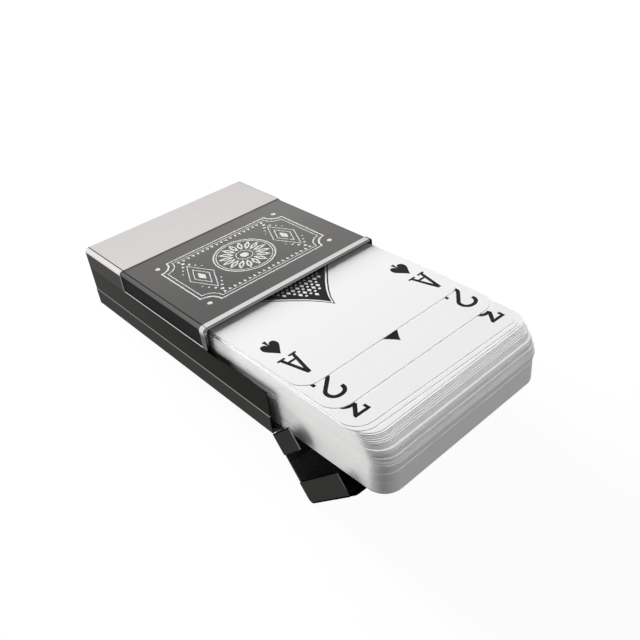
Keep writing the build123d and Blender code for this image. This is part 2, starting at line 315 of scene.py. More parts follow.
def within(value, level, low, high):
    """Mask that falls from 1 to 0 between low and high millimetres past a level."""
    return fall(value, level + low * MM, level + high * MM)


def window(value, low, high, soft):
    """Mask that is 1 between two levels and changes over soft millimetres to each side of them."""
    return times(beyond(value, low, -soft, soft), within(value, high, -soft, soft))


def tint(mask, under, over):
    """Colour that is under where the mask is 0 and over where it is 1."""
    return add(mask.id_data, "Mix", {0: mask, 6: under, 7: over}, data_type="RGBA").outputs[2]


def shade(tone, factor):
    """Colour times a value."""
    node = add(factor.id_data, "VectorMath", {0: tone, "Scale": factor}, operation="SCALE")
    return node.outputs["Vector"]


def noise(vector, scale, detail, roughness=0.5, distortion=0.0):
    """Value of a noise texture, from about 0 to 1."""
    inputs = {"Vector": vector, "Scale": scale, "Detail": detail, "Roughness": roughness}
    return add(vector.id_data, "TexNoise", {**inputs, "Distortion": distortion}).outputs["Fac"]


def bump(height, depth):
    """Normal of a small relief."""
    inputs = {"Height": height, "Distance": depth, "Strength": 1.0}
    return add(height.id_data, "Bump", inputs).outputs["Normal"]


def effect(name, inputs, outputs):
    """Shader node group with sockets named by their kind: the group, its given values, its result node."""
    tree = bpy.data.node_groups.new(name, "ShaderNodeTree")
    for way, sockets in (("INPUT", inputs), ("OUTPUT", outputs)):
        for kind, labels in sockets.items():
            for label in labels:
                tree.interface.new_socket(name=label, in_out=way, socket_type="NodeSocket" + kind)
    return tree, tree.nodes.new("NodeGroupInput").outputs, tree.nodes.new("NodeGroupOutput")


def satin_surface():
    """Fine drawn grain with faint handling marks: a shade near 1, a roughness to add, and a height."""
    tree, given, result = effect(
        "Satin Surface", {"Vector": ("Vector", "Grain")}, {"Float": ("Shade", "Roughness", "Height")}
    )
    stretched = add(tree, "VectorMath", {0: given["Vector"], 1: given["Grain"]}, operation="MULTIPLY")
    fine = calc("SUBTRACT", noise(stretched.outputs[0], 1.0, 4.0, roughness=0.65), 0.5)
    smudge = calc("SUBTRACT", noise(given["Vector"], 70.0, 3.0, distortion=0.6), 0.5)
    streaked = calc("MULTIPLY_ADD", fine, 0.16, 1.0)
    feed(result, {
        "Shade": calc("MULTIPLY_ADD", smudge, 0.05, streaked),
        "Roughness": calc("MULTIPLY_ADD", smudge, 0.16, times(fine, 0.2)),
        "Height": fine,
    })
    return tree


def folded_tones():
    """Tones of a sheet folded over the case: top, painted shade line where the bend starts, rounded edge and
    side.
    """
    numbers = ("Half Width", "Top", "Bend", "Scribe")
    tones = ("Top Tone", "Line Tone", "Edge Tone", "Side Tone")
    tree, given, result = effect(
        "Folded Tones", {"Vector": ("Vector",), "Float": numbers, "Color": tones}, {"Color": ("Color",)}
    )
    place = axes(given["Vector"])
    flat_half = calc("SUBTRACT", given["Half Width"], given["Bend"])
    out = calc("SUBTRACT", distance(place["X"]), flat_half)
    up = calc("SUBTRACT", place["Z"], calc("SUBTRACT", given["Top"], given["Bend"]))
    # On the right the top tone reaches almost over the bend, up to a line twice as wide: a painted shade on
    # the right bend
    right = beyond(place["X"], 0, -1, 1)
    edge = calc("SUBTRACT", out, times(right, 0.85, given["Bend"]))
    line = calc("ADD", edge, calc("MULTIPLY_ADD", right, given["Scribe"], given["Scribe"]))
    tone = tint(beyond(line, 0, -0.05, 0.05), given["Top Tone"], given["Line Tone"])
    tone = tint(beyond(edge, 0, -0.02, 0.08), tone, given["Edge Tone"])
    tone = tint(within(up, 0, -0.05, 0.1), tone, given["Side Tone"])
    feed(result, {"Color": tone})
    return tree


EFFECTS = {}


def placed(maker, vector, inputs):
    """Outputs of the shader node group that a function makes, built once and placed where it is used."""
    if maker not in EFFECTS:
        EFFECTS[maker] = maker()
    return add(vector.id_data, "Group", {"Vector": vector, **inputs}, node_tree=EFFECTS[maker]).outputs


def new_material(name):
    """Node material, its tree and its Principled shader."""
    material = bpy.data.materials.new(name)
    material.use_nodes = True
    return material, material.node_tree, material.node_tree.nodes["Principled BSDF"]


# Metal finishes: each gives a colour and a height to add to the grain

GRAIN_ALONG = (9000.0, 350.0, 9000.0)
GRAIN_ACROSS = (350.0, 9000.0, 9000.0)
GRAIN_EVEN = (6000.0, 6000.0, 6000.0)
GRAIN_RELIEF = 0.002 * MM
# Parts of a normal, from clearly off a direction to clearly along it
TURNED_AWAY = (-0.6, -0.2)
SIDEWAYS = (0.3, 0.6)
# Painted light on the panel: how bright it is from front to rear, and from left to right
PANEL_LIGHT_ALONG, PANEL_LIGHT_ACROSS = (0.82, 1.08), (0.96, 1.34)


def metal(tone_maker, finish, grain, roughness):
    """Satin metal with the colour and height that a finish gives, named like it."""
    material, tree, bsdf = new_material(tone_maker.__name__)
    where = add(tree, "TexCoord").outputs
    surface = placed(satin_surface, where["Object"], {"Grain": grain})
    tone, raised = tone_maker(where, finish)
    feed(bsdf, {
        "Base Color": shade(tone, surface["Shade"]),
        "Roughness": calc("ADD", surface["Roughness"], roughness),
        "Metallic": 1.0,
        "Specular Tint": [finish.edge_tint] * 3,
        "Normal": bump(calc("MULTIPLY_ADD", surface["Height"], GRAIN_RELIEF, raised), 1.0),
    })
    return material


def fold(where, high, bend, finish, top, edge, side):
    """Colour of a sheet folded down at both sides, whose box ends at high."""
    inputs = {
        "Half Width": high.x, "Top": high.z, "Bend": bend, "Scribe": finish.scribe,
        "Top Tone": top, "Line Tone": finish.scribed, "Edge Tone": edge, "Side Tone": side,
    }
    return placed(folded_tones, where["Object"], inputs)["Color"]


def outwards(place, facing):
    """How far a face looks away from the middle plane."""
    return times(facing["X"], calc("SIGN", place["X"]))


def satin_silver_band(where, finish):
    """Rear band: satin silver on top, a painted highlight on the bends, dark sides and a painted highlight
    along the front rim.
    """
    place = axes(where["Object"])
    sheet = fold(where, BAND_HIGH, finish.bend, finish, finish.silver, finish.polished, finish.band_side)
    # Painted highlight along the band's front top edge
    rim = within(place["Y"], BAND_LOW.y, 0.02, 0.16)
    return tint(rim, sheet, finish.cut_edge), 0.0


def dark_panel(where, finish):
    """Printed panel: dark satin grey with painted light growing towards the rear and the right, lighter
    bends, near-black sides and a painted shadow line at their foot.
    """
    place = axes(where["Object"])
    bend = finish.bend - (BAND_HIGH.z - INLAY_HIGH.z)
    # Painted light that grows towards the rear and the right
    along = fade(place["Y"], INLAY_LOW.y, INLAY_HIGH.y, *PANEL_LIGHT_ALONG)
    across = fade(place["X"], INLAY_LOW.x, INLAY_HIGH.x, *PANEL_LIGHT_ACROSS)
    top = shade(finish.panel, times(along, across))
    sheet = fold(where, INLAY_HIGH, bend, finish, top, finish.panel_round, finish.panel_side)
    # Painted shadow line at the foot of the panel's sides
    foot = within(place["Z"], INLAY_LOW.z, 0.2, 0.45)
    return tint(foot, sheet, finish.inside), 0.0


def bright_trim(where, finish):
    """Mouth trim: polished lip with legs in painted shade, a front edge in painted reflection, painted shade
    lines at the bends, the right bend and leg in painted shade, and a blackened inside.
    """
    place, facing = axes(where["Object"]), axes(where["Normal"])
    # Painted shade: the trim's legs take the panel's darker tone
    shaded_leg = fall(place["Z"], TRIM_HIGH.z - 2.6 * MM, TRIM_HIGH.z - finish.bend * 0.8)
    sheet = tint(shaded_leg, finish.lip, finish.panel)
    bend = TRIM_HIGH.x - finish.bend
    # Painted shade line where the trim starts to bend
    line = window(distance(place["X"]), bend - 0.1 * MM, bend + 0.1 * MM, 0.06)
    sheet = tint(line, sheet, finish.panel_round)
    # Painted reflection: the lip's upright front face takes a mid-grey tone
    upper = beyond(place["Z"], TRIM_HIGH.z, -2.0, -0.9)
    front = times(fall(facing["Y"], -0.9, -0.5), upper)
    sheet = tint(front, sheet, finish.lip_front)
    # Painted shade: the right bend and leg take the black inside tone
    sheet = tint(beyond(place["X"], bend, 0, 0.3), sheet, finish.inside)
    under = fall(facing["Z"], *TURNED_AWAY)
    inner = most(under, fall(outwards(place, facing), *TURNED_AWAY))
    rounded = times(place["Z"], -1.0, front)
    return tint(inner, sheet, finish.inside), rounded


def towards_mouth(place, finish, end):
    """Gunmetal in a painted shade that deepens from the rear of the case to a part of its tone at the mouth.
    """
    return shade(finish.gunmetal, fade(place["Y"], LOWER_LOW.y, LOWER_HIGH.y, end, 1.0))


def gunmetal_lower(where, finish):
    """Lower shell: gunmetal in painted shade towards the mouth, with a bevelled rim of bare metal that
    carries a painted highlight.
    """
    place = axes(where["Object"])
    # Bevelled rim of bare metal, brightened by a painted highlight
    rim = beyond(place["Z"], LOWER_HIGH.z, -0.2, -0.14)
    return tint(rim, towards_mouth(place, finish, finish.rim_shade), finish.cut_edge), 0.0


def gunmetal_middle(where, finish):
    """Middle shell: gunmetal in painted shade towards the mouth, a bevelled ledge under the panel with a
    painted highlight, a painted shade line under it, and a blackened inside.
    """
    place, facing = axes(where["Object"]), axes(where["Normal"])
    aside = distance(place["X"])
    soft = 0.02
    along = window(place["Y"], TRIM_HIGH.y, BAND_LOW.y, soft)
    level = window(place["Z"], BAND_LOW.z - 0.05 * MM, BAND_LOW.z + 0.05 * MM, soft)
    # Painted highlight on the bevelled ledge under the panel
    ledge = times(fade(facing["Z"], 0.5, 0.8), level, along)
    # Painted shade line just under the ledge
    shade_below_ledge = window(place["Z"], BAND_LOW.z - 0.4 * MM, BAND_LOW.z - 0.06 * MM, soft)
    sheet = towards_mouth(place, finish, finish.mouth_shade)
    sheet = tint(times(shade_below_ledge, along), sheet, finish.inside)
    sheet = tint(ledge, sheet, finish.ledge)
    between_sides = within(aside, LINER_HIGH.x, soft, 3 * soft)
    inner = times(between_sides, within(place["Y"], LINER_HIGH.y, soft, 3 * soft))
    bevel = times(aside, -1.0, ledge)
    return tint(inner, sheet, finish.inside), bevel


def lid_depth(where, tilt):
    """Distance through the lid across a plane of that tilt, and the lid's least and greatest distance."""
    across = Vector((0, -sin(tilt), cos(tilt)))
    reach = [across.dot(vertex.co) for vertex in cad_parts["lid_shell"].data.vertices]
    spot = where["Object"]
    depth = add(spot.id_data, "VectorMath", {0: spot, 1: across}, operation="DOT_PRODUCT")
    return depth.outputs["Value"], min(reach), max(reach)


def gunmetal_lid(where, finish):
    """Lid: gunmetal with painted shade on its bends outside, black inside with painted light towards the end
    wall, and bare metal on the sheet's cut edges with a painted highlight that fades along the lid.
    """
    place, facing = axes(where["Object"]), axes(where["Normal"])
    aside, sideways = distance(place["X"]), distance(facing["X"])
    out = outwards(place, facing)
    into, outer, _ = lid_depth(where, LID_WALL)
    down, top, bottom = lid_depth(where, LID_PANEL)
    end = within(down, top, 0.2, 0.4)
    bends = most(within(into, outer, 0.15, 0.35), beyond(down, bottom, -0.5, -0.3), end)
    # Painted shade on the tab sides near the lid's bends
    shaded_bends = times(bends, fade(sideways, *SIDEWAYS))
    sheet = tint(shaded_bends, [part * finish.lid_shade for part in finish.gunmetal], finish.inside)
    # Painted light: the inner faces grow lighter towards the end wall
    lit_lining = tint(beyond(into, outer, 0.6, 2.0), finish.wall_inside, finish.lid_inside)
    inner = most(fade(facing["Z"], 0.1, 0.3), fall(out, *TURNED_AWAY))
    sheet = tint(inner, sheet, lit_lining)
    # Painted highlight on the cut faces and the end wall's outer corner
    cut = times(beyond(aside, LID_HIGH.x, -0.24, -0.2), fall(sideways, *SIDEWAYS))
    corner = times(fade(out, *SIDEWAYS), within(aside, LID_HIGH.x, -0.06, -0.03))
    rim = times(corner, within(into, outer, 0.4, 0.6))
    # The painted highlight fades along the lid and at its end
    highlight_falloff = times(fade(down, top, bottom, 1.0, 0.3), fade(end, 0.0, 1.0, 1.0, 0.25))
    return tint(most(cut, rim), sheet, shade(finish.cut_edge, highlight_falloff)), 0.0


def hinge_steel(where, finish):
    """Bright drawn steel of the hinge."""
    return finish.steel, 0.0


# Linings, card stock and prints

def lining(name, tone, scale, relief, gloss=0.25):
    """Black lining with a short pile."""
    material, tree, bsdf = new_material(name)
    pile = noise(add(tree, "TexCoord").outputs["Object"], scale, 4.0)
    feed(bsdf, {
        "Base Color": shade(tone, fade(pile, 0.3, 0.7, 0.7, 1.5)),
        "Roughness": fade(pile, 0.3, 0.7, 0.95, 0.8),
        "Specular IOR Level": gloss,
        "Normal": bump(pile, relief * MM),
    })
    return material


def card_stock(card):
    """Coated card: pressed white face, fibrous edge and a lattice on the back."""
    material, tree, bsdf = new_material("card_stock")
    own = add(tree, "Attribute", attribute_name="card_place").outputs["Vector"]
    upward = axes(add(tree, "TexCoord").outputs["Normal"])["Z"]
    edge = fall(distance(upward), 0.5, 0.9)
    cloud = calc("SUBTRACT", noise(own, 120.0, 4.0), 0.5)
    loose = times(calc("SUBTRACT", noise(own, 5200.0, 3.0), 0.5), edge)
    mottle = calc("MULTIPLY_ADD", loose, 0.06, calc("MULTIPLY_ADD", cloud, 0.015, 1.0))
    cells = {"Vector": own, "Scale": 1800.0, "Randomness": 0.35}
    pressed = add(tree, "TexVoronoi", cells, voronoi_dimensions="2D", feature="SMOOTH_F1").outputs["Distance"]
    lattice = times(back_lattice(axes(own), card), fall(upward, -0.9, -0.5))
    # Greyer cut edges, partly painted shade on the card ends
    tone = tint(lattice, tint(edge, card.stock, card.stock_edge), card.ink)
    feed(bsdf, {
        "Base Color": shade(tone, mottle),
        "Roughness": fade(edge, 0.0, 1.0, 0.42, 0.85),
        "Specular IOR Level": 0.4,
        "Normal": bump(calc("ADD", pressed, loose), 0.006 * MM),
    })
    return material


def back_lattice(place, card):
    """Mask of the diamond lattice printed inside a white border on a card's back."""
    slants = []
    for operation in ("ADD", "SUBTRACT"):
        slant = calc("DIVIDE", calc(operation, place["X"], place["Y"]), card.back_pitch)
        slants.append(calc("PINGPONG", slant, 0.5))
    nearest = calc("MINIMUM", *slants)
    lines = fall(nearest, 0.08, 0.12)
    studs = fade(calc("SUBTRACT", nearest, most(*slants)), -0.12, -0.1)
    pattern = most(lines, times(studs, fade(nearest, 0.32, 0.36)))
    for axis, size in (("X", CARD_SIZE.x), ("Y", CARD_SIZE.y)):
        inside = within(distance(place[axis]), size / 2 - card.back_border, 0, 0.05)
        pattern = times(pattern, inside)
    return pattern


def printed(name, tone, mottle, gloss):
    """Flat print with a slightly uneven coat."""
    material, tree, bsdf = new_material(name)
    coat = noise(add(tree, "TexCoord").outputs["Object"], 900.0, 5.0)
    feed(bsdf, {
        "Base Color": shade(tone, fade(coat, 0.25, 0.75, 1.0 - mottle, 1.0 + mottle)),
        "Roughness": fade(coat, 0.25, 0.75, 0.4, 0.52),
        "Specular IOR Level": gloss,
    })
    return material


# Flat shapes

def select_only(*pieces):
    """Select these pieces alone, the first of them active."""
    bpy.ops.object.select_all(action="DESELECT")
    for piece in pieces:
        piece.select_set(True)
    bpy.context.view_layer.objects.active = pieces[0]


def flat_shape(name, groups, thickness):
    """Thin plate that unites groups of outlines in millimetres; an outline inside its group is a hole."""
    whole, *others = [plate(name, outlines) for outlines in groups]
    for other in others:
        select_only(whole)
        bpy.ops.object.modifier_add(type="BOOLEAN")
        union = whole.modifiers[-1]
        union.operation = "UNION"
        union.solver = "EXACT"
        union.object = other
        bpy.ops.object.modifier_apply(modifier=union.name)
        bpy.data.objects.remove(other)
    whole.data.transform(Matrix.Diagonal((MM, MM, thickness, 1)))
    return whole


def plate(name, outlines):
    """Plate over its outlines in millimetres, one unit thick and closed all round."""
    bpy.ops.object.select_all(action="DESELECT")
    bpy.ops.curve.primitive_bezier_circle_add(radius=1, location=(0, 0, 0))
    curve = bpy.context.object
    curve.name = name
    curve.data.name = name
    curve.data.dimensions = "2D"
    curve.data.fill_mode = "BOTH"
    curve.data.resolution_u = 10
    curve.data.extrude = 0.5
    curve.data.splines.clear()
    for outline in outlines:
        add_outline(curve.data, outline)
    bpy.ops.object.convert(target="MESH")
    bpy.ops.object.mode_set(mode="EDIT")
    bpy.ops.mesh.select_all(action="SELECT")
    bpy.ops.mesh.remove_doubles(threshold=0.0005)
    bpy.ops.mesh.normals_make_consistent(inside=False)
    bpy.ops.object.mode_set(mode="OBJECT")
    return bpy.context.object


def add_outline(data, knots):
    """Closed outline of plain points, or of knots with a handle before and after each point."""
    smooth = len(knots[0]) == 3
    spline = data.splines.new("BEZIER" if smooth else "POLY")
    points = spline.bezier_points if smooth else spline.points
    points.add(len(knots) - 1)
    for point, knot in zip(points, knots):
        if smooth:
            point.handle_left_type = point.handle_right_type = "FREE"
            point.co, point.handle_left, point.handle_right = ((*spot, 0) for spot in knot)
        else:
            point.co = (*knot, 0, 1)
    spline.use_cyclic_u = True


def box_outline(x0, y0, x1, y1):
    """Upright rectangle."""
    return [(x0, y0), (x1, y0), (x1, y1), (x0, y1)]


def lozenge(x, y, width, depth):
    """Upright diamond."""
    return [(x - width / 2, y), (x, y - depth / 2), (x + width / 2, y), (x, y + depth / 2)]


def stroke(path, width):
    """Outline of a pen line along joined curves: point, handle, handle, point and so on."""
    line = []
    for start in range(0, len(path) - 1, 3):
        knots = [Vector((*point, 0)) for point in path[start:start + 4]]
        line += interpolate_bezier(*knots, 14)[1 if line else 0:]
    left, right = [], []
    for here, point in enumerate(line):
        along = line[min(here + 1, len(line) - 1)] - line[max(here - 1, 0)]
        aside = Vector((-along.y, along.x)).normalized() * width / 2
        left.append((point.x + aside.x, point.y + aside.y))
        right.append((point.x - aside.x, point.y - aside.y))
    return left + right[::-1]


def straight(x0, y0, x1, y1):
    """Path of a straight pen line."""
    third = ((x1 - x0) / 3, (y1 - y0) / 3)
    return [(x0, y0), (x0 + third[0], y0 + third[1]), (x1 - third[0], y1 - third[1]), (x1, y1)]


def disc(x, y, radius):
    """Circle as a smooth outline."""
    pull = radius * ROUND_HANDLE
    knots = []
    for ahead_x, ahead_y in ((1, 0), (0, 1), (-1, 0), (0, -1)):
        point = (x + ahead_x * radius, y + ahead_y * radius)
        before = (point[0] + ahead_y * pull, point[1] - ahead_x * pull)
        after = (point[0] - ahead_y * pull, point[1] + ahead_x * pull)
        knots.append((point, before, after))
    return knots


def ring(radius, line):
    """Round line of a given width about the middle."""
    return [disc(0, 0, radius), disc(0, 0, radius - line)]


def moved(knots, scale, x, y):
    """Smooth outline scaled about the origin and then moved."""
    return [tuple((px * scale + x, py * scale + y) for px, py in knot) for knot in knots]


# Foot of a spade for a height and width of 1: its stem, or the hollow under its leaf alone
STEM = [((0.045, 0.36), (0.05, 0.22), (0.045, 0.25)), ((0.115, 0), (0.07, 0.06), (0.08, 0))]
HOLLOW = [((0, 0.42), (0.06, 0.25), (-0.06, 0.25))]


def spade(width, height, tip=0.13, foot=STEM):
    """Spade on its foot line, or its leaf alone over a hollow; tip is how far its point swells."""
    half = [
        ((0, 1), (-tip, 0.8), (tip, 0.8)),
        ((0.5, 0.395), (0.5, 0.545), (0.5, 0.25)),
        ((0.3, 0.147), (0.415, 0.147), (0.17, 0.147)),
        *foot,
    ]
    sides = [(point, after, before) for point, before, after in half[::-1] if point[0] > 0]
    mirrored = [tuple((-x, y) for x, y in knot) for knot in sides]
    return [tuple((x * width, y * height) for x, y in knot) for knot in half + mirrored]


PEN = 1.08
BOWL = [(2.38, 2.9), (2.38, 1.4), (1.3, 0.47), (0, 0.47), (-1.25, 0.47), (-2.2, 1.1), (-2.4, 2.1)]
HOOK = [
    (-2.33, 6.05), (-2.33, 7.6), (-1.35, 8.4), (0, 8.4), (1.4, 8.4), (2.33, 7.55), (2.33, 6.25), (2.33, 5.5),
    (2.05, 5.1), (1.5, 4.65), (0.5, 3.8), (-0.6, 2.85), (-1.6, 1.95), (-2.1, 1.5), (-2.3, 1.1), (-2.3, 0.45),
]
# Corner indices, standing on their foot line, as outlines in millimetres
INDEX_OUTLINES = {
    "A": [
        [(-2.35, 0.5), (-1.42, 0.5), (0.52, 8.87), (-0.52, 8.87)],
        [(1.42, 0.5), (2.35, 0.5), (0.52, 8.87), (-0.52, 8.87)],
        box_outline(-1.8, 2.03, 1.8, 2.77),
        box_outline(-2.95, 0, -0.57, 0.67),
        box_outline(0.57, 0, 2.95, 0.67),
    ],
    "2": [
        stroke(HOOK, PEN),
        box_outline(-2.8, 0, 2.8, 0.9),
        box_outline(1.85, 0, 2.8, 1.94),
    ],
    "3": [
        box_outline(-2.33, 8.0, 2.33, 8.87),
        box_outline(-2.33, 6.94, -1.5, 8.87),
        stroke(straight(1.9, 8.4, -0.75, 5.15), PEN),
        stroke([(-0.95, 4.95), (1.0, 5.5), (2.38, 4.5), *BOWL], PEN),
    ],
    "4": [
        box_outline(0.55, 0, 1.5, 8.87),
        box_outline(-2.6, 2.1, 2.6, 2.95),
        box_outline(-0.4, 0, 2.4, 0.67),
        stroke(straight(0.95, 8.6, -2.25, 2.4), PEN),
    ],
    "5": [
        box_outline(-1.95, 8.0, 2.1, 8.87),
        stroke(straight(-1.5, 8.5, -1.8, 4.3), PEN),
        stroke([(-2.0, 4.6), (-0.6, 6.0), (2.38, 5.6), *BOWL], PEN),
    ],
}


# Cards

def select_rims(piece):
    """Select the level edges of the piece in edit mode."""
    mesh = bmesh.from_edit_mesh(piece.data)
    for edge in mesh.edges:
        edge.select_set(abs(edge.verts[0].co.z - edge.verts[1].co.z) < 1e-7)
    bmesh.update_edit_mesh(piece.data)


def card_lies(node):
    """Middle and turn of each card in a packed node, from the lowest card up."""
    low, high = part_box(node)
    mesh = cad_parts[node].data
    layers = [[] for _ in range(round((high.z - low.z) / CARD_THICKNESS))]
    for face in mesh.polygons:
        if abs(face.normal.z) < 0.1:
            layers[int((face.center.z - low.z) / CARD_THICKNESS)].append(face)
    lies = []
    for faces in layers:
        spots = [mesh.vertices[corner].co for face in faces for corner in face.vertices]
        across, along = [spot.x for spot in spots], [spot.y for spot in spots]
        middle = Vector((min(across) + max(across), min(along) + max(along))) / 2
        long_side = max(faces, key=lambda face: face.area).normal
        lies.append((middle, atan(long_side.y / long_side.x)))
    return lies


def card_size(node):
    """Width and length of a packed card, measured along its own sides."""
    middle, turn = card_lies(node)[0]
    back = Matrix.Rotation(-turn, 2)
    spots = [back @ (vertex.co.xy - middle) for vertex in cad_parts[node].data.vertices]
    return Vector((2 * max(spot.x for spot in spots), 2 * max(spot.y for spot in spots)))


CARD_SIZE = card_size("ace_of_spades")


def card_blank(card, thickness):
    """One card lying round the origin, with rounded corners and softened rims."""
    bpy.ops.object.select_all(action="DESELECT")
    bpy.ops.mesh.primitive_plane_add(size=1, location=(0, 0, 0))
    blank = bpy.context.object
    bpy.ops.object.mode_set(mode="EDIT")
    bpy.ops.mesh.select_all(action="SELECT")
    bpy.ops.transform.resize(value=(CARD_SIZE.x, CARD_SIZE.y, 1))
    bpy.ops.mesh.bevel(offset=card.corner, segments=10, affect="VERTICES")
    bpy.ops.mesh.extrude_region_move(TRANSFORM_OT_translate={"value": (0, 0, thickness)})
    bpy.ops.mesh.select_all(action="SELECT")
    bpy.ops.mesh.normals_make_consistent(inside=False)
    bpy.ops.mesh.select_mode(type="EDGE")
    select_rims(blank)
    bpy.ops.mesh.bevel(offset=card.rim, segments=2, affect="EDGES")
    bpy.ops.object.mode_set(mode="OBJECT")
    bpy.ops.object.shade_smooth_by_angle(angle=radians(20))
    place = blank.data.attributes.new("card_place", "FLOAT_VECTOR", "POINT")
    place.data.foreach_set("vector", [part for vertex in blank.data.vertices for part in vertex.co])
    return blank


def copy_to(piece, place):
    """Copy of a piece with a mesh of its own, moved by a matrix."""
    copy = piece.copy()
    copy.data = piece.data.copy()
    copy.data.transform(place)
    bpy.context.collection.objects.link(copy)
    return copy


def join_pieces(pieces, name):
    """Several meshes as one piece."""
    select_only(*pieces)
    if len(pieces) > 1:
        bpy.ops.object.join()
    pieces[0].name = name
    return pieces[0]


def deal(blank, node, card, chance):
    """Cards of a packed node as one piece, each a little to one side."""
    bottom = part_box(node)[0].z
    sheets = []
    for layer, (middle, turn) in enumerate(card_lies(node)):
        aside = chance.uniform(-card.jitter, card.jitter)
        spot = (middle.x + aside, middle.y, bottom + layer * CARD_THICKNESS)
        sheets.append(copy_to(blank, Matrix.Translation(spot) @ Matrix.Rotation(turn, 4, "Z")))
    return join_pieces(sheets, node + "_stock")


def print_mark(mark, node, card, x, inset, turned):
    """Copy of a mark on a card: its foot line stands inset from the card's end; turned faces the rear."""
    middle, turn = card_lies(node)[0]
    drift = Vector(CARD_FACES[node][1]) * MM
    spot = (*(middle + drift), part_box(node)[1].z - card.ink_room / 2)
    upright = Matrix.Rotation(turn + (0 if turned else pi), 4, "Z")
    foot = Matrix.Translation((x, CARD_SIZE.y / 2 - inset, 0))
    return copy_to(mark, Matrix.Translation(spot) @ upright @ foot)


# Widths of the spades, as shares of their heights
SMALL_PIP_WIDTH, PIP_WIDTH, EMBLEM_WIDTH = 0.716, 0.78, 0.87
EMBLEM_TIP = 0.08


def card_marks(node, index, centre, card):
    """Indices, small spades and middle spades of one card."""
    height, tall = card.small_pip / MM, card.centre_pip / MM
    letter = flat_shape("index", [[outline] for outline in INDEX_OUTLINES[index]], card.ink_room)
    small = flat_shape("small_pip", [[spade(height * SMALL_PIP_WIDTH, height)]], card.ink_room)
    large = flat_shape("pip", [[spade(tall * PIP_WIDTH, tall)]], card.ink_room)
    marks = []
    for turned in (False, True):
        for side in (-card.index_side, card.index_side):
            foot = card.index_inset + card.index_height
            marks.append(print_mark(letter, node, card, side, foot, turned))
            marks.append(print_mark(small, node, card, side, card.index_pip_inset + card.small_pip, turned))
    for x, inset, turned in centre:
        marks.append(print_mark(large, node, card, x, inset, turned))
    for pattern in (letter, small, large):
        bpy.data.objects.remove(pattern)
    return marks


def pip_places(count, card):
    """Places of a card's middle spades: across, from the end to the foot line, and turned or not."""
    near = card.centre_pip_inset + card.centre_pip
    middle = CARD_SIZE.y / 2 + card.centre_pip / 2
    columns = (0,) if count < 4 else (-card.column, card.column)
    places = [(x, near, turned) for x in columns for turned in (False, True)]
    if count % 2:
        places.append((0, middle, False))
    return places


def inside_outline(knots, x, y):
    """Whether a point lies inside a smooth outline."""
    loop = []
    for here, (point, _, after) in enumerate(knots):
        ahead, before, _ = knots[(here + 1) % len(knots)]
        loop += interpolate_bezier(*(Vector((*p, 0)) for p in (point, after, before, ahead)), 12)[:-1]
    crossings = 0
    for one, two in zip(loop, loop[1:] + loop[:1]):
        if (one.y > y) != (two.y > y) and x < one.x + (y - one.y) * (two.x - one.x) / (two.y - one.y):
            crossings += 1
    return crossings % 2 == 1


def emblem_outlines(card):
    """Large spade with a light line inside its border and a lattice of diamonds in its body."""
    height = card.emblem / MM
    width, middle = height * EMBLEM_WIDTH, height * 0.45
    leaf = moved(spade(width, height, EMBLEM_TIP, HOLLOW), 1, 0, -middle)
    line_outside, line_inside, field = (moved(leaf, scale, 0, middle) for scale in (0.975, 0.945, 0.84))
    outlines = [spade(width, height, EMBLEM_TIP), line_outside, line_inside]
    pitch = 1.6
    reach = int(height / pitch)
    for row in range(reach):
        for column in range(-reach, reach):
            x = (column + 0.5 * (row % 2)) * pitch
            y = row * pitch
            if inside_outline(field, x, y):
                if row % 2:
                    outlines.append(disc(x, y, pitch * 0.26))
                else:
                    outlines.append(lozenge(x, y, pitch * 0.75, pitch * 1.15))
    return outlines


# Panel ornament

def notched_outline(width, depth, notch):
    """Rectangle with hollow round corners."""
    pull = notch * ROUND_HANDLE
    knots = []
    for turn_x, turn_y in ((1, 1), (-1, 1), (-1, -1), (1, -1)):
        corner = (turn_x * width / 2, turn_y * depth / 2)
        level = (corner[0] - turn_x * notch, corner[1])
        upright = (corner[0], corner[1] - turn_y * notch)
        level_handle = (level[0], level[1] - turn_y * pull)
        upright_handle = (upright[0] - turn_x * pull, upright[1])
        pair = [(level, level, level_handle), (upright, upright_handle, upright)]
        if turn_x * turn_y > 0:
            pair = [(point, after, before) for point, before, after in pair[::-1]]
        knots += pair
    return knots


def petal(angle, start, end, width):
    """Pointed leaf along a ray from the middle."""
    def turned(along, aside):
        return (along * cos(angle) - aside * sin(angle), along * sin(angle) + aside * cos(angle))
    swell = (end - start) * 0.45
    return [
        (turned(start, 0), turned(start + swell, -width), turned(start + swell, width)),
        (turned(end, 0), turned(end - swell, width), turned(end - swell, -width)),
    ]


